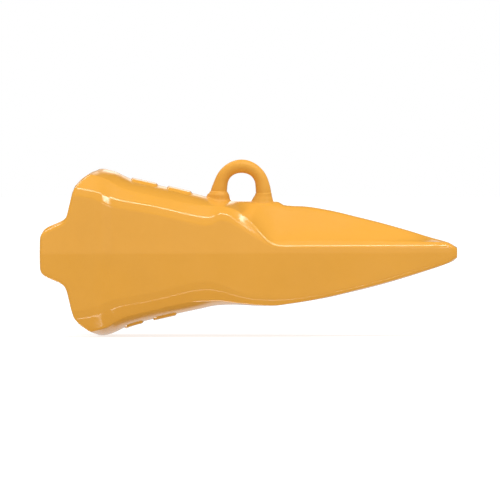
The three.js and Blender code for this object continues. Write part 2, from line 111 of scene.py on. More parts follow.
def blur(values, width):
    """Gaussian blur of a row of values, with the ends carried on level."""
    reach = int(math.ceil(BELL_WIDTHS * width))
    kernel = np.exp(-0.5 * (np.arange(-reach, reach + 1) / width) ** 2)
    kernel /= kernel.sum()
    padded = np.pad(values, reach, mode="edge")
    return np.convolve(padded, kernel, mode="valid")


def line(points, soften=1.2):
    """Smooth curve through (x, value) points without overshoot, softened over a few millimetres."""
    xs, values = np.array(points, float).T
    slopes = np.diff(values) / np.diff(xs)
    before, after = np.r_[0, slopes], np.r_[slopes, 0]
    same_way = before * after > 0
    tangents = np.where(same_way, 2 * before * after / np.where(same_way, before + after, 1), 0)
    fine = np.arange(xs[0] - LEVEL_ENDS, xs[-1] + LEVEL_ENDS + FINE, FINE)
    x = np.clip(fine, xs[0], xs[-1])
    i = np.clip(np.searchsorted(xs, x, "right") - 1, 0, len(xs) - 2)
    width = xs[i + 1] - xs[i]
    t = (x - xs[i]) / width
    rise = smoothstep(t, 0, 1)
    bow = tangents[i] * t * (1 - t) ** 2 - tangents[i + 1] * t * t * (1 - t)
    curve = mix(values[i], values[i + 1], rise) + width * bow
    softened = blur(curve, soften / FINE)
    return lambda x: np.interp(x, fine, softened)


UPPER_EDGE_REAR = [
    (36, 69.3), (60.5, 64.7), (70, 60.5), (82, 56.5), (115.7, 50.7), (147, 43.4), (164, 39.6),
]
ROOF_EDGE_REAR = [
    (40, 84), (54, 82.5), (64, 80), (72, 77), (80, 72), (88, 68), (96, 65.5), (115.7, 61), (167, 50.7),
]


def mirrored(points):
    return [(x, -z) for x, z in points]


crest = line([
    (60, 87.6), (66, 88), (74, 86.3), (81, 84.2), (88, 80.7), (96, 77.2), (116, 72.6), (174, 58.7),
    (188, 54.4), (250, 53.4), (258, 49.6), (280, 48.2), (307, 43.8), (334, 37.4), (361, 30.6), (388, 23),
    (414, 15), (427, 11.4), (435, 8.2), (440, 5.2),
])
upper_edge = line([
    *UPPER_EDGE_REAR, (176, 37.9), (183, 39.6), (190, 42.6), (197, 41), (205, 36.2), (218, 26.5),
    (230, 17.6), (238, 12), (246, 8.6), (258, 7.4), (428, 7.4), (436, 5.6), (440, 3.4),
])
roof_edge = line([*ROOF_EDGE_REAR, (185, 49.4), (250, 46)])
keel = line([
    (60, -87.6), (66, -88), (74, -86.4), (81, -83.8), (88, -80.2), (96, -77), (116, -71.6), (168, -60.2),
    (187, -56.4), (204, -55.6), (229, -56.6), (244, -56.7), (266, -54.2), (302, -48.2), (326, -42.8),
    (359, -34.6), (411, -18.8), (432, -11.3), (437, -9), (440, -6),
])
lower_edge = line([
    *mirrored(UPPER_EDGE_REAR), (176, -38.6), (190, -41), (204, -45), (218, -48.2), (232, -49.7),
    (260, -49.3), (290, -45.6), (321, -39.4), (341, -35), (380, -24), (412, -14.6), (432, -7.8),
    (440, -4),
])
lower_roof_edge = line([
    *mirrored(ROOF_EDGE_REAR), (187, -50.4), (204, -52.4), (229, -54.8), (244, -55.4), (266, -53),
    (302, -46.7), (326, -41.1), (359, -32.9), (411.5, -17.4), (432, -10.4), (440, -5.6),
])
half_width = line([
    (0, 84), (56, 84), (64, 83.2), (76, 79.4), (84, 78.2), (115, 74.8), (180, 67.4), (258, 57.5),
    (330, 45.6), (400, 33.8), (424, 29.6), (434, 26.8), (438, 24.4), (440, 22),
])
rib_half_width = line([(188, 17), (232, 16.5), (276, 9.5), (400, 7.6), (440, 7)], 3)
rib_foot = line([
    (188, 52.5), (215, 51.2), (246, 49), (262, 47.4), (280, 46), (307, 41.8), (334, 35.6), (361, 28.9),
    (388, 21.4), (414, 13.6), (427, 10.2), (435, 7.2), (440, 4.6),
], 4)
# Width and height of the sloping ledge along a hollow's foot.
ledge = line([(236, 0), (264, 6), (390, 4.2), (428, 3.4), (440, 0.8)])
upper_chamfer = line([(64, 17), (84, 13), (110, 12)])
lower_chamfer = line([(176, 12), (240, 5), (432, 5), (440, 3)])
# Extra lean, and height, of the narrow band below each side-wall edge.
edge_lean = line([(176, 3), (246, 0.5)])
band_height = line([(176, 8.5), (246, 1.6), (430, 1.6), (440, 1)])
# Rear end of the casting at a height above or below the parting line: a lobe in the middle of each
# side wall, the shoulder of the collar, then the mouth's rim, which runs forward over the corners.
rim_x = line([
    (0, 0), (16, 0.3), (20.5, 1.6), (23.5, 4.6), (26, 9), (28, 13.6), (30, 18.6), (32.5, 23.4), (36, 26.6),
    (41, 28.6), (50, 30.8), (69, 35.8), (76.5, 41.5), (80, 46), (84.5, 52.5), (87.6, 60),
], 0.8)

SIDE_DRAFT = 0.06  # sideways lean of the side walls for each millimetre away from the parting line
SCOOP_START, SCOOP_FULL = 186, 252  # where the hollows beside the rib begin and have their full depth
SCOOP_BEND = (0.61, 0.78)  # control point of a hollow's curve, as shares of its width and its depth
RIB_SHARE = 1 / 6  # share of the roof's points that lie on the rib

# ---------------------------------------------------------------- the casting's outline

# Points on each stretch of a quarter of the outline.
CROWN_POINTS = 56
CHAMFER_POINTS = 14
BAND_POINTS = 10
WALL_POINTS = 44
EDGE_SOFTNESS = 1.1  # blur along the outline, which rounds its corners
BLUR_POINTS = 14  # points past each end of the outline that its blur takes in


def closer_at_start(count):
    """count numbers from 0 to 1 that start about half as far apart as an even spacing."""
    t = np.linspace(0, 1, count)
    return t - 0.5 * t * (1 - t)


def closer_at_end(count):
    return 1 - closer_at_start(count)[::-1]


def closer_at_ends(count):
    """count numbers from 0 to 1, part of the way from an even spacing to a smooth step."""
    t = np.linspace(0, 1, count)
    return mix(t, smoothstep(t, 0, 1), 0.6)


def outline_quarter(x, top, edge, roof, chamfer, scoop):
    """(y, z) from the middle of the roof to just short of the parting line, for a column of x."""
    wall = half_width(x)
    edge_z = edge(x)
    side = np.sign(edge_z)
    edge_y = wall - SIDE_DRAFT * np.abs(edge_z) - edge_lean(x)
    band_z = edge_z - side * band_height(x)
    roof_y = edge_y - chamfer
    crown = closer_at_end(CROWN_POINTS)[None]
    slope = closer_at_ends(CHAMFER_POINTS + 1)[None, 1:]
    flat_y = np.hstack([roof_y * crown, mix(roof_y, edge_y, slope)])
    flat_z = np.hstack([mix(roof(x), top(x), 1 - crown ** 2), mix(roof(x), edge_z, slope)])
    # over the rib, down the hollow to the ledge, and down the ledge to the side wall's edge
    down = np.clip((crown - RIB_SHARE) / (1 - RIB_SHARE), 0, 1)
    along, fall = (2 * down * (1 - down) * bend + down ** 2 for bend in SCOOP_BEND)
    on_rib = np.clip(crown / RIB_SHARE, 0, 1)
    rib = rib_half_width(x)
    rib_z = rib_foot(x)
    ledge_y, ledge_z = edge_y - ledge(x), edge_z + ledge(x)
    over_y = np.where(crown < RIB_SHARE, rib * on_rib, mix(rib, ledge_y, along))
    over_z = np.where(crown < RIB_SHARE, mix(rib_z, top(x), 1 - on_rib ** 2), mix(rib_z, ledge_z, fall))
    hollow_y = np.hstack([over_y, mix(ledge_y, edge_y, slope)])
    hollow_z = np.hstack([over_z, mix(ledge_z, edge_z, slope)])
    y = mix(flat_y, hollow_y, scoop)
    z = mix(flat_z, hollow_z, scoop)
    band = closer_at_ends(BAND_POINTS + 1)[None, 1:]
    band_y = mix(edge_y, wall - SIDE_DRAFT * np.abs(band_z), band)
    wall_z = band_z * (1 - closer_at_start(WALL_POINTS + 1))[None, 1:-1]
    return (
        np.hstack([y, band_y, wall - SIDE_DRAFT * np.abs(wall_z)]),
        np.hstack([z, mix(edge_z, band_z, band), wall_z]),
    )


def outline_half(x):
    """(stations, points, 2) from the middle of the roof round the +Y side to the middle of the keel."""
    x = np.asarray(x, float).reshape(-1, 1)
    scoop = smoothstep(x, SCOOP_START, SCOOP_FULL)
    upper = outline_quarter(x, crest, upper_edge, roof_edge, upper_chamfer(x), scoop)
    lower = outline_quarter(x, keel, lower_edge, lower_roof_edge, lower_chamfer(x), 0 * x)
    middle = (half_width(x), 0 * x)
    return np.stack([np.hstack([u, m, l[:, ::-1]]) for u, m, l in zip(upper, middle, lower)], axis=-1)


def rounded(outline):
    """The half outline with its corners rounded by a blur along its own length."""
    flip = np.array([-1, 1])
    before = outline[BLUR_POINTS:0:-1] * flip
    after = outline[-2:-BLUR_POINTS - 2:-1] * flip
    whole = np.vstack([before, outline, after])
    step = np.linalg.norm(np.diff(whole, axis=0), axis=1)
    length = np.r_[0, np.cumsum(step)]
    share = (np.r_[step, 0] + np.r_[0, step]) / 2
    near = np.exp(-0.5 * ((length[:, None] - length[None]) / EDGE_SOFTNESS) ** 2) * share[None]
    near /= near.sum(1, keepdims=True)
    return (near @ whole)[BLUR_POINTS:-BLUR_POINTS]


GRID_X = np.arange(0, TIP_X + FINE, FINE)
OUTLINES = np.array([rounded(o) for o in outline_half(GRID_X)])
POINTS = OUTLINES.shape[1]


def at_grid(table, x, v):
    """The table's outlines read at each x and point number v, neither of which has to be whole."""
    i = np.clip(x / FINE, 0, len(GRID_X) - 1.001)
    k = np.clip(v, 0, POINTS - 1.001)
    i0, k0 = i.astype(int), k.astype(int)
    a, b = (i - i0)[..., None], (k - k0)[..., None]
    here = mix(table[i0, k0], table[i0 + 1, k0], a)
    beside = mix(table[i0, k0 + 1], table[i0 + 1, k0 + 1], a)
    return mix(here, beside, b)


def normals(outline):
    """Unit normals in the section plane, pointing away from the middle."""
    along = np.gradient(outline, axis=0)
    along /= np.linalg.norm(along, axis=1, keepdims=True)
    return np.column_stack([-along[:, 1], along[:, 0]])


# ---------------------------------------------------------------- the socket

# The roof and floor are level behind the mouth's x, and level lands in front of the land's.
MOUTH_X, LAND_X = 58, 180
MOUTH_HALF_HEIGHT, LAND_HALF_HEIGHT = 68.5, 27.5
MOUTH_CORNER, LAND_CORNER = 18, 9
SOCKET_HALF_WIDTH = 63
SOCKET_SIDE_TAPER = 0.11  # loss of half width for each millimetre of depth
SIDE_TAPER_START = 30
ARC_POINTS_ON_WALL = 9  # of the wall's points, those that lie on the corner's arc


def socket_outlines(x):
    """The socket's half outlines at a column of x, point for point with the casting's."""
    x = np.asarray(x, float).reshape(-1, 1)
    t = np.clip((x - MOUTH_X) / (LAND_X - MOUTH_X), 0, 1)
    high = mix(MOUTH_HALF_HEIGHT, LAND_HALF_HEIGHT, t)
    corner = mix(MOUTH_CORNER, LAND_CORNER, t)
    wide = SOCKET_HALF_WIDTH - SOCKET_SIDE_TAPER * np.maximum(x - SIDE_TAPER_START, 0)
    flat = np.linspace(0, 1, CROWN_POINTS)[None]
    arc_points = CHAMFER_POINTS + BAND_POINTS + ARC_POINTS_ON_WALL
    arc = np.radians(90 - 90 * np.arange(1, arc_points + 1) / arc_points)[None]
    straight = np.linspace(1, 0, WALL_POINTS - ARC_POINTS_ON_WALL + 1)[None, 1:-1]
    y = np.hstack([(wide - corner) * flat, wide - corner + corner * np.cos(arc), wide + 0 * straight])
    z = np.hstack([high + 0 * flat, high - corner + corner * np.sin(arc), (high - corner) * straight])
    upper = np.stack([y, z], axis=-1)
    middle = np.stack([wide, 0 * wide], axis=-1)
    return np.concatenate([upper, middle, (upper * [1, -1])[:, ::-1]], axis=1)


SOCKETS = socket_outlines(GRID_X)

# ---------------------------------------------------------------- rows of the casting's skin

# Radii of the rounded edges.
RIM_ROUNDING = 3.4
MOUTH_ROUNDING = 4.5
SEAT_ROUNDING = 4
TIP_ROUNDING = 1.1
ALL_POINTS = np.arange(POINTS)

ARC_ROWS = 7
SEAT_ARC_ROWS = 6
SEAT_SHARES = (0.25, 0.5, 0.75, 0.93)  # rings on the seat face, as shares of its size
TIP_SHARES = (0.3, 0.6, 0.85)  # rings on the tip's end face, as shares of the way to its middle
SOCKET_ROWS = 70
RIM_FACE_ROWS = 10
COLLAR_ROWS = 38
RIM_GUESS, RIM_SEARCHES = 30.0, 12  # first guess of rim_places, and enough rounds for it to settle
SOCKET_FADE = (0.75, 1)  # shares of the way out over which the socket's rows take on the rim's shape
COLLAR_FADE = (0, 0.4)  # shares of the way to the collar's end over which the outside's rows lose it


def rim_places():
    """Each point's x on the rim, found where its own height meets the rear profile."""
    x = np.full(POINTS, RIM_GUESS)
    for _ in range(RIM_SEARCHES):
        x = rim_x(np.abs(at_grid(OUTLINES, x, ALL_POINTS)[:, 1]))
    return x


def rim_row(table, x, outward, inset, drop):
    """Points inset from the rim, square to it, and dropped into the wall from the table's surface."""
    edge = at_grid(table, x, ALL_POINTS)
    spacing = np.linalg.norm(np.gradient(edge, axis=0), axis=1)
    slope = np.gradient(x) / spacing
    across = 1 / np.sqrt(1 + slope ** 2)
    shift = -slope * across * inset / spacing
    row_x = x + inset * across
    row = at_grid(table, row_x, ALL_POINTS + shift)
    row = row - drop * outward * normals(row)
    return row_x, row


def joined(x, yz):
    return np.column_stack([x, yz])


def level_row(table, x, inset=0.0):
    """The table's outline at one x, moved inwards by the inset."""
    at_x = np.full(POINTS, x)
    outline = at_grid(table, at_x, ALL_POINTS)
    return joined(at_x, outline - inset * normals(outline))


def rows_of_socket(x_rim):
    """Half rings from the middle of the seat face to the mouth's edge."""
    rows = []
    for angle in np.radians(np.linspace(90, 0, SEAT_ARC_ROWS)):
        x = SEAT_X - SEAT_ROUNDING * (1 - math.sin(angle))
        rows.append(level_row(SOCKETS, x, SEAT_ROUNDING * (1 - math.cos(angle))))
    face = [joined(np.full(POINTS, SEAT_X), rows[0][:, 1:] * share) for share in SEAT_SHARES]
    walls = []
    start = SEAT_X - SEAT_ROUNDING
    stop_x, stop = rim_row(SOCKETS, x_rim, -1, MOUTH_ROUNDING, 0)
    for share in np.linspace(0, 1, SOCKET_ROWS)[1:]:
        x = mix(start, stop_x, share)
        straight = at_grid(SOCKETS, x, ALL_POINTS)
        fade = smoothstep(share, *SOCKET_FADE)
        walls.append(joined(x, mix(straight, stop, fade)))
    return face + rows + walls


def rounded_rim(table, x_rim, outward, radius, angles):
    """Half rings round one edge of the rim, at angles in degrees."""
    return [
        joined(*rim_row(table, x_rim, outward, radius * (1 - math.sin(a)), radius * (1 - math.cos(a))))
        for a in np.radians(angles)
    ]


def rows_of_rim(x_rim):
    """Half rings from the mouth's edge over the rim to the outside."""
    angles = np.linspace(0, 90, ARC_ROWS)
    inner = rounded_rim(SOCKETS, x_rim, -1, MOUTH_ROUNDING, angles[1:])
    outer = rounded_rim(OUTLINES, x_rim, 1, RIM_ROUNDING, angles[::-1])
    face = [mix(inner[-1], outer[0], t) for t in np.linspace(0, 1, RIM_FACE_ROWS)[1:-1]]
    return inner + face + outer


COLLAR_END = 80
STATION_STEP = 2.6
FINE_STATION_STEP = 0.25  # step at which the stations' density is summed
# Places with closer stations: x, width, and how many more stations to the millimetre.
BUSY_PLACES = [(254, 6, 0.8), (192, 12, 0.4), (436, 5, 1.2), (LOCK_X, 24, 0.5)]
PLATE_END_DENSITY = (2.5, 1.2)  # width and more stations at each end of a marking plate


def stations():
    """x of the rows in front of the collar, closer together where the shape turns quickly."""
    x = np.arange(COLLAR_END, TIP_X - TIP_ROUNDING, FINE_STATION_STEP)
    plate_ends = [(end, *PLATE_END_DENSITY) for span in (*TOP_PLATES, *BOTTOM_PLATES) for end in span]
    density = np.full(len(x), 1 / STATION_STEP)
    for centre, width, more in plate_ends + BUSY_PLACES:
        density += more * np.exp(-0.5 * ((x - centre) / width) ** 2)
    count = np.cumsum(density) * FINE_STATION_STEP
    return np.interp(np.arange(1, int(count[-1])), count, x)


def rows_of_outside(x_rim):
    """Half rings from the rim to the middle of the tip."""
    start_x, start = rim_row(OUTLINES, x_rim, 1, RIM_ROUNDING, 0)
    step_at_rim = start - at_grid(OUTLINES, start_x, ALL_POINTS)
    rows = []
    for share in np.linspace(0, 1, COLLAR_ROWS)[1:]:
        x = mix(start_x, COLLAR_END, share)
        fade = 1 - smoothstep(share, *COLLAR_FADE)
        rows.append(joined(x, at_grid(OUTLINES, x, ALL_POINTS) + step_at_rim * fade))
    rows += [level_row(OUTLINES, x) for x in stations()]
    for angle in np.radians(np.linspace(0, 90, ARC_ROWS)):
        x = TIP_X - TIP_ROUNDING * (1 - math.sin(angle))
        rows.append(level_row(OUTLINES, x, TIP_ROUNDING * (1 - math.cos(angle))))
    middle = rows[-1].mean(0) * [1, 0, 1]
    rows += [mix(rows[-1], middle, share) for share in TIP_SHARES]
    return rows


# ---------------------------------------------------------------- relief on the outside

TOP_PLATES = ((96, 124), (134, 160))
BOTTOM_PLATES = ((89, 109), (119, 144))
PLATE_PROUD = 1.8
PLATE_HALF_WIDTH = 20
PLATE_CORNER = 5
PLATE_DRAFT = (-1.6, 0.4)  # from inside to outside the plate's edge, where its height runs out

BOSS_RADIUS = 33
BOSS_REACH = 60  # the boss fades into the wall within this radius
BOSS_EDGE_SOFTNESS = 1.5
BOSS_FILLET = 2.2


def plate_height(x, y, span):
    """Height of a blank marking plate with rounded corners and drafted edges."""
    centre, half = (span[0] + span[1]) / 2, (span[1] - span[0]) / 2
    dx = np.abs(x - centre) - (half - PLATE_CORNER)
    dy = np.abs(y) - (PLATE_HALF_WIDTH - PLATE_CORNER)
    past_corner = np.hypot(np.maximum(dx, 0), np.maximum(dy, 0))
    outside = past_corner + np.minimum(np.maximum(dx, dy), 0) - PLATE_CORNER
    return PLATE_PROUD * (1 - smoothstep(outside, *PLATE_DRAFT))


def smooth_max(a, b, softness):
    """The larger of a and b, with a fillet where they cross."""
    apart = np.clip(0.5 + 0.5 * (a - b) / softness, 0, 1)
    return mix(b, a, apart) + softness * apart * (1 - apart)


def with_relief(p):
    """The outside's points with the marking plates and the lock boss raised out of them."""
    p = p.copy()
    x, y, z = p.T
    for span in TOP_PLATES:
        p[:, 2] += np.where(z > 0, plate_height(x, y, span), 0)
    for span in BOTTOM_PLATES:
        p[:, 2] -= np.where(z < 0, plate_height(x, y, span), 0)
    around = np.hypot(x - LOCK_X, z)
    boss = BOSS_FACE_Y - smooth_max(around - BOSS_RADIUS, 0 * x, BOSS_EDGE_SOFTNESS)
    near = (y > 0) & (around < BOSS_REACH)
    p[:, 1] = np.where(near, smooth_max(y, boss, BOSS_FILLET), p[:, 1])
    return p


# ---------------------------------------------------------------- meshes

def mesh_object(name, points, faces, materials):
    mesh = bpy.data.meshes.new(name)
    mesh.from_pydata([tuple(p) for p in points], [], faces)
    mesh.validate()
    mesh.update()
    obj = bpy.data.objects.new(name, mesh)
    bpy.context.scene.collection.objects.link(obj)
    for material in materials:
        mesh.materials.append(material)
    mesh.polygons.foreach_set("use_smooth", [True] * len(mesh.polygons))
    return obj


def skin(rings):
    """Points and quads through rings with the same number of points, each end closed by a fan."""
    count = len(rings[0])
    points = np.vstack([[rings[0].mean(0)], *rings, [rings[-1].mean(0)]])
    last = len(points) - 1
    k = np.arange(count)
    after = (k + 1) % count
    faces = [(0, int(1 + a), int(1 + b)) for a, b in zip(k, after)]
    for ring in range(len(rings) - 1):
        low, high = 1 + ring * count, 1 + (ring + 1) * count
        faces += [(int(low + a), int(high + a), int(high + b), int(low + b)) for a, b in zip(k, after)]
    low = 1 + (len(rings) - 1) * count
    faces += [(int(low + a), last, int(low + b)) for a, b in zip(k, after)]
    return points, faces


def full_ring(half):
    """Whole ring from a half that starts and ends on the middle plane."""
    return np.vstack([half, half[-2:0:-1] * [1, -1, 1]])


def sharpen(obj, degrees):
    obj.data.set_sharp_from_angle(angle=math.radians(degrees))


def combine(obj, tool, operation):
    """obj cut or joined by tool in an exact boolean that is applied at once."""
    modifier = obj.modifiers.new("combine", "BOOLEAN")
    modifier.operation = operation
    modifier.solver = "EXACT"
    modifier.object = tool
    graph = bpy.context.evaluated_depsgraph_get()
    result = bpy.data.meshes.new_from_object(obj.evaluated_get(graph))
    obj.modifiers.clear()
    obj.data = result
    bpy.data.objects.remove(tool)


def cut(obj, *tools):
    for tool in tools:
        combine(obj, tool, "DIFFERENCE")


def join(obj, *tools):
    for tool in tools:
        combine(obj, tool, "UNION")


def finished(obj, body, slot, *nodes):
    """Hands a piece over: the body it rides and the CAD nodes it replaces. slot, its paint or metal, is not
    used.
    """
    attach(obj, body)
    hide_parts(*nodes)


AROUND = 96
EDGE_ROUND, BARELY_ROUND = 0.35, 0.01
SHARED_EDGE = 0.45  # share of an edge's length that the round at one end may take


def lathe_rings(profile, sides=AROUND, centre=LOCK, axis="Y"):
    """Rings about the lock's axis, or about a standing one, from (radius, height) points."""
    angle = 2 * math.pi * np.arange(sides) / sides
    rings = []
    for radius, height in profile:
        a, b = radius * np.cos(angle), radius * np.sin(angle)
        h = np.full(sides, height)
        ring = np.column_stack([b, h, a]) if axis == "Y" else np.column_stack([a, b, h])
        rings.append(ring + np.array(centre))
    return rings


def softened_profile(profile, radius=EDGE_ROUND, closed=False):
    """(radius, height) points with each corner replaced by a small round."""
    points = [np.array(p, float) for p in profile]
    out = []
    count = len(points)
    for i, p in enumerate(points):
        if not closed and i in (0, count - 1):
            out.append(p)
            continue
        before, after = points[i - 1] - p, points[(i + 1) % count] - p
        near = min(radius, np.linalg.norm(before) * SHARED_EDGE, np.linalg.norm(after) * SHARED_EDGE)
        start = p + before / np.linalg.norm(before) * near
        end = p + after / np.linalg.norm(after) * near
        for t in (0, 0.25, 0.5, 0.75, 1):
            out.append((1 - t) ** 2 * start + 2 * t * (1 - t) * p + t * t * end)
    return out


def closed_skin(rings):
    """Points and quads through rings of which the last joins the first."""
    count = len(rings[0])
    faces = []
    for i in range(len(rings)):
        low, high = i * count, (i + 1) % len(rings) * count
        for k in range(count):
            after = (k + 1) % count
            faces.append((low + k, high + k, high + after, low + after))
    return np.vstack(rings), faces


def skinned(name, rings, *materials, closed=False):
    """Solid object through a row of rings in millimetres."""
    points, faces = closed_skin(rings) if closed else skin(rings)
    obj = mesh_object(name, place(points), faces, materials)
    face_outward(obj)
    return obj


def turned(name, profile, material, round_off=EDGE_ROUND, closed=False, centre=LOCK, sides=AROUND):
    """A turned piece. A closed profile makes a ring, an open one starts and ends near the axis."""
    rings = lathe_rings(softened_profile(profile, round_off, closed), sides, centre)
    obj = skinned(name, rings, material, closed=closed)
    sharpen(obj, 50)
    return obj


def face_outward(obj):
    """Turns the faces round if they enclose a negative volume."""
    mesh = obj.data
    mesh.calc_loop_triangles()
    co = np.zeros(len(mesh.vertices) * 3)
    mesh.vertices.foreach_get("co", co)
    co = co.reshape(-1, 3)
    triangles = np.zeros(len(mesh.loop_triangles) * 3, int)
    mesh.loop_triangles.foreach_get("vertices", triangles)
    a, b, c = co[triangles.reshape(-1, 3)].transpose(1, 0, 2)
    if np.einsum("ij,ij->i", a, np.cross(b, c)).sum() < 0:
        mesh.flip_normals()


# ---------------------------------------------------------------- materials

class Nodes:
    """Short words for building a node material."""

    def __init__(self, name):
        self.material = bpy.data.materials.new(name)
        self.material.use_nodes = True
        self.tree = self.material.node_tree
        self.shader = self.tree.nodes["Principled BSDF"]
        self.where = self.new("ShaderNodeTexCoord").outputs["Object"]

    def new(self, kind, **settings):
        node = self.tree.nodes.new(kind)
        for key, value in settings.items():
            setattr(node, key, value)
        return node

    def link(self, output, socket):
        self.tree.links.new(output, socket)

    def noise(self, scale, detail=3.0, roughness=0.5, stretch=(1, 1, 1)):
        mapping = self.new("ShaderNodeMapping")
        mapping.inputs["Scale"].default_value = stretch
        self.link(self.where, mapping.inputs["Vector"])
        node = self.new("ShaderNodeTexNoise")
        node.inputs["Scale"].default_value = scale
        node.inputs["Detail"].default_value = detail
        node.inputs["Roughness"].default_value = roughness
        self.link(mapping.outputs["Vector"], node.inputs["Vector"])
        return node.outputs["Fac"]

    def ramp(self, value, *stops):
        """Grey or colour ramp through (position, value) stops."""
        node = self.new("ShaderNodeValToRGB")
        elements = node.color_ramp.elements
        while len(elements) < len(stops):
            elements.new(0.5)
        for element, (position, colour) in zip(elements, stops):
            element.position = position
            element.color = (*([colour] * 3 if np.isscalar(colour) else colour), 1)
        self.link(value, node.inputs["Fac"])
        return node.outputs["Color"]

    def remap(self, value, low, high, from_low=0.0, from_high=1.0):
        node = self.new("ShaderNodeMapRange")
        node.inputs["From Min"].default_value = from_low
        node.inputs["From Max"].default_value = from_high
        node.inputs["To Min"].default_value = low
        node.inputs["To Max"].default_value = high
        self.link(value, node.inputs["Value"])
        return node.outputs["Result"]

    def blend(self, factor, a, b):
        """Colour a turned into the fixed colour b by a factor."""
        node = self.new("ShaderNodeMix", data_type="RGBA")
        factor_socket, a_socket, b_socket = (s for s in node.inputs if s.enabled)
        self.link(factor, factor_socket)
        self.link(a, a_socket)
        b_socket.default_value = (*b, 1)
        return next(s for s in node.outputs if s.enabled)

    def bump(self, height, strength, distance, before=None):
        node = self.new("ShaderNodeBump")
        node.inputs["Strength"].default_value = strength
        node.inputs["Distance"].default_value = distance
        self.link(height, node.inputs["Height"])
        if before is not None:
            self.link(before, node.inputs["Normal"])
        return node.outputs["Normal"]

    def edges(self, low, high):
        """0 on flat places and 1 along outer edges."""
        return self.remap(self.new("ShaderNodeNewGeometry").outputs["Pointiness"], 0, 1, low, high)


DEEP_ORANGE = (0.625, 0.293, 0.038)
ORANGE = (0.665, 0.314, 0.043)
SPECKLE_ORANGE = (0.685, 0.33, 0.047)
# Painted highlight: a lighter orange laid along the outer edges.
EDGE_HIGHLIGHT_ORANGE = (0.72, 0.375, 0.065)


def paint(name, roughness, shine):
    """Orange enamel over a slightly uneven casting, with a painted highlight that makes it lighter along
    its outer edges.
    """
    m = Nodes(name)
    broad = m.noise(9, 4, 0.55)
    fine = m.noise(120, 3, 0.6)
    colour = m.ramp(broad, (0.3, DEEP_ORANGE), (0.7, ORANGE))
    colour = m.blend(m.remap(fine, 0, 0.2, 0.35, 0.75), colour, SPECKLE_ORANGE)
    # painted highlight: lighter orange wherever the pointiness marks an outer edge
    colour = m.blend(m.edges(0.52, 0.62), colour, EDGE_HIGHLIGHT_ORANGE)
    m.link(colour, m.shader.inputs["Base Color"])
    m.link(m.remap(m.noise(28, 5, 0.6), *roughness), m.shader.inputs["Roughness"])
    m.shader.inputs["Specular IOR Level"].default_value = shine
    cast = m.bump(m.noise(30, 3, 0.45), 0.06, 0.0012)
    peel = m.bump(m.noise(260, 2, 0.5), 0.03, 0.0003, cast)
    m.link(peel, m.shader.inputs["Normal"])
    return m.material


TURNING_MARKS = (0.05, 40, 0.05)  # noise stretched into rings around the lock's axis


def plated_steel():
    m = Nodes("zinc_plated_steel")
    tone = m.noise(160, 4, 0.6)
    m.link(m.ramp(tone, (0.3, (0.5, 0.49, 0.45)), (0.7, (0.66, 0.64, 0.58))), m.shader.inputs["Base Color"])
    m.shader.inputs["Metallic"].default_value = 1.0
    m.link(m.remap(m.noise(300, 4, 0.6), 0.26, 0.46), m.shader.inputs["Roughness"])
    marks = m.noise(60, 2, 0.5, TURNING_MARKS)
    m.link(m.bump(marks, 0.12, 0.0004), m.shader.inputs["Normal"])
    return m.material


def dark_steel():
    m = Nodes("phosphated_spring_steel")
    m.link(m.ramp(m.noise(420, 4, 0.6), (0.3, 0.03), (0.7, 0.075)), m.shader.inputs["Base Color"])
    m.shader.inputs["Metallic"].default_value = 0.85
    m.link(m.remap(m.noise(500, 3, 0.6), 0.38, 0.6), m.shader.inputs["Roughness"])
    m.link(m.bump(m.noise(900, 3, 0.6), 0.15, 0.0002), m.shader.inputs["Normal"])
    return m.material


def rubber():
    m = Nodes("black_rubber")
    m.link(m.ramp(m.noise(200, 4, 0.6), (0.3, 0.012), (0.7, 0.026)), m.shader.inputs["Base Color"])
    m.link(m.remap(m.noise(300, 3, 0.6), 0.6, 0.82), m.shader.inputs["Roughness"])
    m.link(m.bump(m.noise(1300, 2, 0.5), 0.2, 0.0002), m.shader.inputs["Normal"])
    return m.material


PAINT = paint("gloss_orange_paint", (0.12, 0.24), 0.5)
BRUSHED_PAINT = paint("brushed_on_orange_paint", (0.36, 0.5), 0.14)
PLATED, DARK, RUBBER_BLACK = plated_steel(), dark_steel(), rubber()

# ---------------------------------------------------------------- the casting

BORE_RADIUS, COUNTERBORE_RADIUS, COUNTERBORE_Y = 23, 28.5, 61
RING_GROOVE_RADIUS, RING_GROOVE_LOW, RING_GROOVE_HIGH = 25, 74.6, 77.3
BORE_CHAMFER = 1.4
LOCK_CUT_START = 30  # the lock's cuts start well inside the socket
KEY_RADIUS, KEY_CIRCLE_RADIUS = 1.7, 25.6
KEY_LOW, KEY_HIGH = 57, 65
KEY_HOLE_LOW, KEY_HOLE_HIGH = 50, 66
KEY = (LOCK_X - KEY_CIRCLE_RADIUS, 0, 0)


def rod(radius, low, high, sides=48, centre=LOCK, axis="Y"):
    """Plain round (or, with few sides, polygonal) cutting tool."""
    return skinned("tool", lathe_rings([(radius, low), (radius, high)], sides, centre, axis))


def key_hole():
    return rod(KEY_RADIUS + GAP, KEY_HOLE_LOW, KEY_HOLE_HIGH, 32, KEY)


def lock_bore():
    chamfer_low, chamfer_high = BOSS_FACE_Y - BORE_CHAMFER, BOSS_FACE_Y + BORE_CHAMFER
    profile = [
        (0, LOCK_CUT_START), (COUNTERBORE_RADIUS, LOCK_CUT_START), (COUNTERBORE_RADIUS, COUNTERBORE_Y),
        (BORE_RADIUS, COUNTERBORE_Y), (BORE_RADIUS, RING_GROOVE_LOW), (RING_GROOVE_RADIUS, RING_GROOVE_LOW),
        (RING_GROOVE_RADIUS, RING_GROOVE_HIGH), (BORE_RADIUS, RING_GROOVE_HIGH),
        (BORE_RADIUS, chamfer_low), (BORE_RADIUS + 2 * BORE_CHAMFER, chamfer_high), (0, chamfer_high),
    ]
    return skinned("tool", lathe_rings(profile, 128))


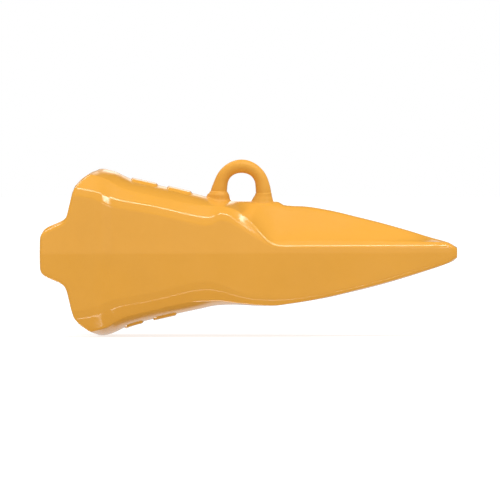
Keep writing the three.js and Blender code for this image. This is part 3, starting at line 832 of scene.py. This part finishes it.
def tooth_casting():
    x_rim = rim_places()
    inside = rows_of_socket(x_rim) + rows_of_rim(x_rim)
    outside = rows_of_outside(x_rim)
    rings = [full_ring(row) for row in inside] + [with_relief(full_ring(row)) for row in outside]
    casting = skinned("tooth_casting", rings, PAINT)
    cut(casting, lock_bore(), key_hole())
    sharpen(casting, 42)
    finished(casting, "casting", "paint", "tooth_point")


# ---------------------------------------------------------------- the lifting eye and its welds

EYE_X = 212.3  # middle of the lifting eye's hole
EYE_Z = 68.5
EYE_BEND_RADIUS = 22.2
BAR_RADIUS = 7.1
SHOULDER_THINNING = 0.5  # drawn thinner where the bend is tightest
FOOT_THICKENING = 0.2
BAR_SIDES = 48
BAR_STATIONS = 120
BAR_SMOOTHING = 7  # stations that are averaged to take the corners out of the middle line
# The legs' middle line, as distance from EYE_X, z and bar radius.
REAR_LEG = np.array([(-25, 50, 9), (-24.4, 60, 8.8), (-23.8, 65, 8.5), (-22.9, 68.5, 8)])
FRONT_LEG = np.array([(22.6, 68.5, 7.7), (23.1, 65, 8), (23.4, 60, 8.2), (24.1, 50, 8.4)])


def roof_height(x, y):
    """Height of the casting's roof at arrays of x and y."""
    heights = []
    for px, py in zip(np.ravel(x), np.abs(np.ravel(y))):
        roof = OUTLINES[int(round(px / FINE)), :CROWN_POINTS]
        heights.append(np.interp(py, roof[:, 0], roof[:, 1]))
    return np.array(heights).reshape(np.shape(x))


def eye_route():
    """Middle line of the bar and its radius, as rows of x, z and radius."""
    angle = np.radians(np.arange(165, 14, -3))
    thinner = SHOULDER_THINNING * np.sin(2 * angle) ** 2
    thicker = FOOT_THICKENING * (1 - np.sin(angle)) ** 2
    bend = np.column_stack([
        EYE_X + EYE_BEND_RADIUS * np.cos(angle),
        EYE_Z + EYE_BEND_RADIUS * np.sin(angle),
        BAR_RADIUS - thinner + thicker,
    ])
    coarse = np.vstack([REAR_LEG + [EYE_X, 0, 0], bend, FRONT_LEG + [EYE_X, 0, 0]])
    length = np.r_[0, np.cumsum(np.linalg.norm(np.diff(coarse[:, :2], axis=0), axis=1))]
    even = np.linspace(0, length[-1], BAR_STATIONS)
    window = np.ones(BAR_SMOOTHING) / BAR_SMOOTHING
    columns = []
    for values in coarse.T:
        column = np.interp(even, length, values)
        padded = np.pad(column, BAR_SMOOTHING // 2, mode="reflect", reflect_type="odd")
        columns.append(np.convolve(padded, window, mode="valid"))
    return np.column_stack(columns)


def swept(path, radius, sides=BAR_SIDES, up=(0, 1, 0)):
    """Rings around a path of points, without twist about the up direction."""
    run = np.gradient(path, axis=0)
    run /= np.linalg.norm(run, axis=1, keepdims=True)
    across = np.array(up, float) - run * (run @ np.array(up, float))[:, None]
    across /= np.linalg.norm(across, axis=1, keepdims=True)
    out = np.cross(across, run)
    angle = 2 * math.pi * np.arange(sides) / sides
    radius = np.broadcast_to(radius, len(path))
    return [p + r * (np.outer(np.cos(angle), o) + np.outer(np.sin(angle), a))
            for p, r, o, a in zip(path, radius, out, across)]


def lifting_eye():
    x, z, radius = eye_route().T
    eye = skinned("lifting_eye_bar", swept(np.column_stack([x, 0 * x, z]), radius), BRUSHED_PAINT)
    finished(eye, "casting", "paint", "lifting_eye")


# Flanks of the welds, as height above the casting's roof and distance from the middle of the leg.
REAR_WELD = [
    (9.6, 8.5), (8.9, 9.2), (7.6, 9.9), (5.6, 11.1), (3.6, 11.6), (2, 12), (0.9, 12.6), (-0.3, 13.6),
    (-1.5, 13.6),
]
FRONT_WELD = [
    (9.6, 7.9), (8.9, 8.5), (7.6, 8.8), (5.6, 9.3), (3.6, 10.2), (2, 10.8), (0.9, 11.3), (-0.3, 12),
    (-1.5, 12),
]
WELD_RIPPLES = 23
WELD_RIPPLE_HEIGHT = 0.16
WELD_ROWS, WELD_SIDES = 30, 72
# Between these heights a weld's rings turn from following the roof to being level.
WELD_FOLLOWS_ROOF, WELD_LEVEL = 3, 7


def eye_weld(name, node, profile, foot_x, lean):
    """Weld around the foot of one leg: it feathers out on the bar and flares on to the roof."""
    heights, radii = np.array(profile).T
    length = np.r_[0, np.cumsum(np.hypot(np.diff(heights), np.diff(radii)))]
    even = np.linspace(0, length[-1], WELD_ROWS)
    heights = np.interp(even, length, heights)
    radii = np.interp(even, length, radii)
    angle = 2 * math.pi * np.arange(WELD_SIDES) / WELD_SIDES
    bead = np.sin(np.linspace(0, math.pi, len(even))) ** 2
    rings = []
    for height, radius, share in zip(heights, radii, bead):
        ripple = WELD_RIPPLE_HEIGHT * share * np.sin(WELD_RIPPLES * angle + 1.5 * np.sin(2 * angle))
        x = foot_x + lean * height + (radius + ripple) * np.cos(angle)
        y = (radius + ripple) * np.sin(angle)
        z = roof_height(x, y) + height
        flat = np.clip((height - WELD_FOLLOWS_ROOF) / (WELD_LEVEL - WELD_FOLLOWS_ROOF), 0, 1)
        rings.append(np.column_stack([x, y, mix(z, z.mean(), flat)]))
    weld = skinned(name, rings, BRUSHED_PAINT)
    finished(weld, "casting", "paint", node)


# ---------------------------------------------------------------- the lock

# Radii are about the pin's axis, and names in Y, LOW or HIGH are places along it.
PIN_RADIUS = 15
PIN_INNER_Y, PIN_OUTER_Y = 56.5, 78
PIN_TRAVEL = 12
PIN_TURN = math.radians(270)  # while the pin travels
CAM_GROOVE_RADIUS = 2.8
PLUNGER_RADIUS, PLUNGER_Y = 2.3, 62.5  # the plunger lies square to the pin, at this distance along it
HEX_RADIUS, HEX_FLOOR_Y = 8.1, 69
HEX_LEAD_IN = [(0, 76.4), (7.2, 76.4), (9.2, 78.4), (0, 78.4)]  # chamfer around the socket's mouth
SHOE_RADIUS, SHOE_TIP_Y, SHOE_EDGE_Y, SHOE_SHOULDER_Y = 11, 54.5, 55.6, 59.1
STEM_RADIUS, STEM_END_Y = 3.7, 64.6
NECK_RADIUS, NECK_LOW, NECK_HIGH = 3.0, 60.9, 62.7
PIN_CHAMFER = 0.8
SHOE_PLAY = 0.4  # between the shoe and the hollow in the pin
SHOE_RING_RADIUS = 5.1
PLUNGER_END, PLUNGER_BORE_END = 18.8, 24  # heights above the pin's axis
COLLAR_RADIUS, FLANGE_RADIUS = 22.7, 28
COLLAR_INNER_Y, FLANGE_OUTER_Y, COLLAR_OUTER_Y = 56, 59.5, 74.5
DRAG_GROOVE_RADIUS, DRAG_GROOVE_LOW, DRAG_GROOVE_HIGH = 18.4, 69, 72
DRAG_RING_RADIUS, DRAG_RING_SECTION, DRAG_RING_Y = 16.8, 1.3, 70.5
SNAP_INNER, SNAP_OUTER, SNAP_HALF_OPENING = 20.6, 24.6, 0.16
SNAP_THICKNESS = 2.1
SNAP_HOLE_RADIUS, SNAP_HOLE_FROM_END = 1.0, 0.09  # the second in radians, like the half opening
PLUG_STEM_LOW, PLUG_LOW, PLUG_HIGH, PLUG_FLANGE_RADIUS = 70, 78.3, 80, 11.5
PLUG_RIB = (15, 2.6, 1.8)
CUTTER_REACH = 1  # how far a cutting tool reaches past the face that it cuts through


def lock_piece(name, profile, material, body, slot, node, *tools, **more):
    obj = turned(name, profile, material, **more)
    cut(obj, *tools)
    if tools:
        sharpen(obj, 35)
    finished(obj, body, slot, node)


def lock_collar():
    bore = PIN_RADIUS + GAP
    profile = [
        (bore, COLLAR_INNER_Y), (FLANGE_RADIUS, COLLAR_INNER_Y), (FLANGE_RADIUS, FLANGE_OUTER_Y),
        (COLLAR_RADIUS, FLANGE_OUTER_Y), (COLLAR_RADIUS, COLLAR_OUTER_Y), (bore, COLLAR_OUTER_Y),
        (bore, DRAG_GROOVE_HIGH), (DRAG_GROOVE_RADIUS, DRAG_GROOVE_HIGH),
        (DRAG_GROOVE_RADIUS, DRAG_GROOVE_LOW), (bore, DRAG_GROOVE_LOW),
    ]
    plunger_bore = rod(
        PLUNGER_RADIUS + GAP, PIN_RADIUS - CUTTER_REACH, PLUNGER_BORE_END, 40, (LOCK_X, PLUNGER_Y, 0), "Z",
    )
    lock_piece("lock_collar_turned", profile, PLATED, "casting", "plated_steel", "lock_collar",
               plunger_bore, key_hole(), closed=True, round_off=0.6)


def collar_gasket():
    inner, outer = COLLAR_RADIUS + 0.25, COUNTERBORE_RADIUS - GAP
    low, high = FLANGE_OUTER_Y + GAP, COUNTERBORE_Y - GAP
    profile = [(inner, low), (outer, low), (outer, high), (inner, high)]
    lock_piece("collar_gasket_washer", profile, RUBBER_BLACK, "casting", "rubber", "collar_gasket",
               key_hole(), closed=True)


def collar_key():
    profile = [(0, KEY_LOW), (KEY_RADIUS, KEY_LOW), (KEY_RADIUS, KEY_HIGH), (0, KEY_HIGH)]
    key = turned("collar_key_pin", profile, DARK, 0.5, centre=KEY, sides=40)
    finished(key, "casting", "dark_steel", "collar_key")


def snap_ring():
    """Open spring ring with a plier hole near each end."""
    low = RING_GROOVE_LOW + GAP
    high = low + SNAP_THICKNESS
    corners = [(SNAP_INNER, low), (SNAP_OUTER, low), (SNAP_OUTER, high), (SNAP_INNER, high)]
    r, y = np.array(softened_profile(corners, closed=True)).T
    rings = []
    for angle in np.linspace(SNAP_HALF_OPENING, 2 * math.pi - SNAP_HALF_OPENING, 150):
        rings.append(np.column_stack([LOCK_X + r * math.cos(angle), y, r * math.sin(angle)]))
    ring = skinned("collar_snap_ring_open", rings, DARK)
    middle = (SNAP_INNER + SNAP_OUTER) / 2
    ear = SNAP_HALF_OPENING + SNAP_HOLE_FROM_END
    for side in (-1, 1):
        centre = (LOCK_X + middle * math.cos(ear), 0, side * middle * math.sin(ear))
        cut(ring, rod(SNAP_HOLE_RADIUS, low - CUTTER_REACH, high + CUTTER_REACH, 32, centre))
    sharpen(ring, 35)
    finished(ring, "casting", "dark_steel", "collar_snap_ring")


def cam_groove():
    """Round-ended cutter along the plunger's path around the pin."""
    t = np.linspace(0, 1, 90)
    angle = PIN_TURN * t
    path = np.column_stack([
        LOCK_X + PIN_RADIUS * np.sin(angle), PLUNGER_Y + PIN_TRAVEL * t, PIN_RADIUS * np.cos(angle),
    ])
    radius = np.full(len(t), float(CAM_GROOVE_RADIUS))
    start, end = path[0] - path[1], path[-1] - path[-2]
    cap = np.radians(np.linspace(80, 15, 5))
    before = [path[0] + start / np.linalg.norm(start) * CAM_GROOVE_RADIUS * math.sin(a) for a in cap]
    after = [path[-1] + end / np.linalg.norm(end) * CAM_GROOVE_RADIUS * math.sin(a) for a in cap[::-1]]
    caps = CAM_GROOVE_RADIUS * np.cos(cap)
    path = np.vstack([before, path, after])
    return skinned("tool", swept(path, np.r_[caps, radius, caps[::-1]], 28))


def lock_pin():
    stem_bore, stem_bore_end = STEM_RADIUS + SHOE_PLAY, STEM_END_Y + SHOE_PLAY
    ring_bore = SHOE_RING_RADIUS + GAP
    shoe_bore, shoe_floor = SHOE_RADIUS + SHOE_PLAY, SHOE_SHOULDER_Y + GAP
    chamfered = PIN_RADIUS - PIN_CHAMFER
    profile = [
        (0, stem_bore_end), (stem_bore, stem_bore_end), (stem_bore, NECK_HIGH), (ring_bore, NECK_HIGH),
        (ring_bore, NECK_LOW), (stem_bore, NECK_LOW), (stem_bore, shoe_floor), (shoe_bore, shoe_floor),
        (shoe_bore, PIN_INNER_Y), (chamfered, PIN_INNER_Y), (PIN_RADIUS, PIN_INNER_Y + PIN_CHAMFER),
        (PIN_RADIUS, PIN_OUTER_Y - PIN_CHAMFER), (chamfered, PIN_OUTER_Y), (0, PIN_OUTER_Y),
    ]
    socket = rod(HEX_RADIUS, HEX_FLOOR_Y, PIN_OUTER_Y + CUTTER_REACH, 6)
    lead_in = skinned("tool", lathe_rings(softened_profile(HEX_LEAD_IN, BARELY_ROUND)))
    lock_piece("lock_pin_turned", profile, PLATED, "pin", "plated_steel", "lock_pin",
               socket, lead_in, cam_groove())


def shoe():
    profile = [
        (0, SHOE_TIP_Y), (9.6, SHOE_TIP_Y), (SHOE_RADIUS, SHOE_EDGE_Y), (SHOE_RADIUS, SHOE_SHOULDER_Y),
        (STEM_RADIUS, SHOE_SHOULDER_Y), (STEM_RADIUS, NECK_LOW), (NECK_RADIUS, NECK_LOW),
        (NECK_RADIUS, NECK_HIGH), (STEM_RADIUS, NECK_HIGH), (STEM_RADIUS, STEM_END_Y), (0, STEM_END_Y),
    ]
    lock_piece("thrust_shoe_turned", profile, PLATED, "shoe", "plated_steel", "thrust_shoe")


def shoe_ring():
    low, high = NECK_LOW + GAP, NECK_HIGH - GAP
    inner, outer = NECK_RADIUS + GAP, SHOE_RING_RADIUS
    profile = [(inner, low), (outer, low), (outer, high), (inner, high)]
    lock_piece("shoe_retaining_ring", profile, DARK, "pin", "dark_steel", "shoe_ring", closed=True)


def drag_ring():
    angle = np.radians(np.arange(0, 360, 15))
    profile = np.column_stack([
        DRAG_RING_RADIUS + DRAG_RING_SECTION * np.cos(angle),
        DRAG_RING_Y + DRAG_RING_SECTION * np.sin(angle),
    ])
    lock_piece("pin_drag_o_ring", profile, RUBBER_BLACK, "casting", "rubber", "pin_drag_ring",
               closed=True, round_off=BARELY_ROUND)


def guide_plunger():
    angle = np.radians(np.linspace(-90, 0, 9))
    nose = np.column_stack([PLUNGER_RADIUS * np.cos(angle), PIN_RADIUS + PLUNGER_RADIUS * np.sin(angle)])
    chamfer = 0.4
    profile = [
        *nose, (PLUNGER_RADIUS, PLUNGER_END - chamfer), (PLUNGER_RADIUS - chamfer, PLUNGER_END),
        (0, PLUNGER_END),
    ]
    rings = lathe_rings(profile, 48, (LOCK_X, PLUNGER_Y, 0), "Z")
    plunger = skinned("guide_plunger_turned", rings, DARK)
    sharpen(plunger, 40)
    finished(plunger, "plunger", "dark_steel", "guide_plunger")


def plunger_spring():
    """Small coil spring behind the plunger, built at one length with a mesh of its own. The real spring
    flattens as the plunger is pressed in.
    """
    wire, coil, turns = 0.32, 1.75, 3.2
    low, high = 19.15, 22.05
    t = np.linspace(0, 1, 130)
    angle = 2 * math.pi * turns * t
    path = np.column_stack([
        LOCK_X + coil * np.cos(angle), PLUNGER_Y + coil * np.sin(angle), mix(low, high, t),
    ])
    spring = skinned("plunger_coil_spring", swept(path, wire, 12, (0, 0, 1)), DARK)
    finished(spring, "casting", "dark_steel", "plunger_spring")
    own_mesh(spring)


def rounded_block(width, depth, height, centre, radius, steps=5):
    """Block with rounded edges, as points and faces."""
    block = bmesh.new()
    bmesh.ops.create_cube(block, size=1)
    for vertex in block.verts:
        vertex.co = Vector((vertex.co.x * width, vertex.co.y * depth, vertex.co.z * height))
    bmesh.ops.bevel(block, geom=block.edges[:], offset=radius, segments=steps, profile=0.5, affect="EDGES")
    points = np.array([v.co for v in block.verts]) + np.array(centre)
    faces = [[v.index for v in f.verts] for f in block.faces]
    block.free()
    return points, faces


def drive_plug():
    """Rubber plug with a hexagonal stem and a rib to pull it by."""
    outer = PLUG_FLANGE_RADIUS
    profile = [
        (0, PLUG_LOW), (outer - 0.3, PLUG_LOW), (outer, PLUG_LOW + 0.4), (outer, PLUG_HIGH - 0.6),
        (outer - 0.9, PLUG_HIGH), (0, PLUG_HIGH),
    ]
    plug = turned("drive_plug_rubber", profile, RUBBER_BLACK, 0.3)
    stem = rod(HEX_RADIUS - 0.5, PLUG_STEM_LOW, PLUG_LOW + 0.7, 6)
    points, faces = rounded_block(*PLUG_RIB, (LOCK_X, PLUG_HIGH - 0.1, 0), 0.6)
    rib = mesh_object("tool", place(points), faces, [])
    join(plug, stem, rib)
    sharpen(plug, 40)
    finished(plug, "plug", "rubber", "drive_plug")


# ---------------------------------------------------------------- camera, light and floor

VIEW_WIDTH = 0.5282  # width of the object's plane that the picture takes in
VIEW_CENTRE = Vector((0.0163, 0, 0.0021))
CAMERA_DISTANCE = 20.0
CAMERA_RISE = math.radians(1.2)
SENSOR = 36.0
LIGHT_DISTANCE = 2.0
FLOOR_HALF_SIZE = 8
FLOOR_DROP = 0.0005  # below the lowest point of the tooth
FLOOR_GLOW = 0.75  # keeps the floor pale right across the picture


def camera():
    data = bpy.data.cameras.new("camera")
    data.sensor_width = SENSOR
    data.lens = SENSOR * CAMERA_DISTANCE / VIEW_WIDTH
    data.clip_end = 100
    obj = bpy.data.objects.new("camera", data)
    bpy.context.scene.collection.objects.link(obj)
    back = Vector((0, -math.cos(CAMERA_RISE), math.sin(CAMERA_RISE)))
    obj.location = VIEW_CENTRE + back * CAMERA_DISTANCE
    obj.rotation_euler = (-back).to_track_quat("-Z", "Y").to_euler()
    bpy.context.scene.camera = obj


def aimed(name, data, towards_light):
    """Light placed in a direction from the tooth, and facing it."""
    obj = bpy.data.objects.new(name, data)
    bpy.context.scene.collection.objects.link(obj)
    obj.location = towards_light
    obj.rotation_euler = Vector(towards_light).to_track_quat("Z", "Y").to_euler()
    obj.visible_camera = False
    return obj


def sun(name, direction, strength, softness):
    """Sun whose softness is its width in degrees. It isn't seen in reflections."""
    data = bpy.data.lights.new(name, "SUN")
    data.energy = strength
    data.angle = math.radians(softness)
    lamp = aimed(name, data, Vector(direction).normalized() * LIGHT_DISTANCE)
    lamp.visible_glossy = False


def highlight_panel(name, azimuth, elevation, width, height, radiance):
    """Panel that only shows in reflections. Angles in degrees: azimuth from the front towards the tip,
    elevation from the front over the top, and the panel's width and height as seen from the tooth."""
    data = bpy.data.lights.new(name, "AREA")
    data.shape = "RECTANGLE"
    data.size = 2 * LIGHT_DISTANCE * math.tan(math.radians(width) / 2)
    data.size_y = 2 * LIGHT_DISTANCE * math.tan(math.radians(height) / 2)
    data.energy = radiance * math.pi * data.size * data.size_y
    turn, rise = math.radians(azimuth), math.radians(elevation)
    flat = math.cos(turn)
    direction = Vector((math.sin(turn), -flat * math.cos(rise), flat * math.sin(rise)))
    obj = aimed(name, data, direction * LIGHT_DISTANCE)
    obj.visible_diffuse = False


def floor():
    corners = ((-1, -1), (1, -1), (1, 1), (-1, 1))
    points = [(x * FLOOR_HALF_SIZE, y * FLOOR_HALF_SIZE, 0) for x, y in corners]
    plane = mesh_object("floor", points, [(0, 1, 2, 3)], [pale_floor()])
    plane.location = (0, 0, FLOOR_Z - FLOOR_DROP)
    plane.visible_glossy = False


def studio():
    """Even white surroundings and one soft sun for the shading, and panels for the highlights."""
    world = bpy.data.worlds.new("studio")
    bpy.context.scene.world = world
    world.use_nodes = True
    background = world.node_tree.nodes["Background"]
    background.inputs["Color"].default_value = (1, 1, 1, 1)
    background.inputs["Strength"].default_value = 1.0
    world.cycles_visibility.glossy = False
    sun("overhead_softbox", (0.05, -0.15, 1), 2.25, 40)
    # name, azimuth, elevation, width, height, radiance
    highlight_panel("crest_glow", 0, 167, 120, 14, 0.65)
    highlight_panel("level_roof_softbox", 0, 163, 6, 10, 1.2)
    highlight_panel("low_glow", 0, 198, 120, 22, 0.75)
    highlight_panel("upper_softbox", 12, 66, 48, 9, 18)
    highlight_panel("slope_softbox", 41, 58, 12, 9, 18)
    highlight_panel("roof_softbox", -24, 124, 24, 8, 10)
    highlight_panel("lower_softbox", 12, -66, 40, 8, 8)
    highlight_panel("keel_softbox", -14, -124, 36, 8, 12)
    highlight_panel("front_softbox", 34, 20, 16, 5, 7)
    highlight_panel("front_glow", 0, 10, 90, 24, 0.4)
    bpy.context.scene.view_settings.view_transform = "Standard"


def pale_floor():
    """Pale, slightly mottled board that glows a little, so that it stays nearly white."""
    m = Nodes("pale_floor")
    m.link(m.ramp(m.noise(3, 2, 0.5), (0.3, 0.28), (0.7, 0.31)), m.shader.inputs["Base Color"])
    m.shader.inputs["Emission Color"].default_value = (1, 1, 1, 1)
    m.shader.inputs["Emission Strength"].default_value = FLOOR_GLOW
    m.shader.inputs["Roughness"].default_value = 0.8
    return m.material


camera()
studio()
floor()
tooth_casting()
lifting_eye()
eye_weld("eye_weld_bead_rear", "eye_weld_rear", REAR_WELD, EYE_X - 24.2, 0)
eye_weld("eye_weld_bead_front", "eye_weld_front", FRONT_WELD, EYE_X + 22, 0.15)
lock_collar()
collar_gasket()
collar_key()
snap_ring()
lock_pin()
shoe()
shoe_ring()
drag_ring()
guide_plunger()
plunger_spring()
drive_plug()
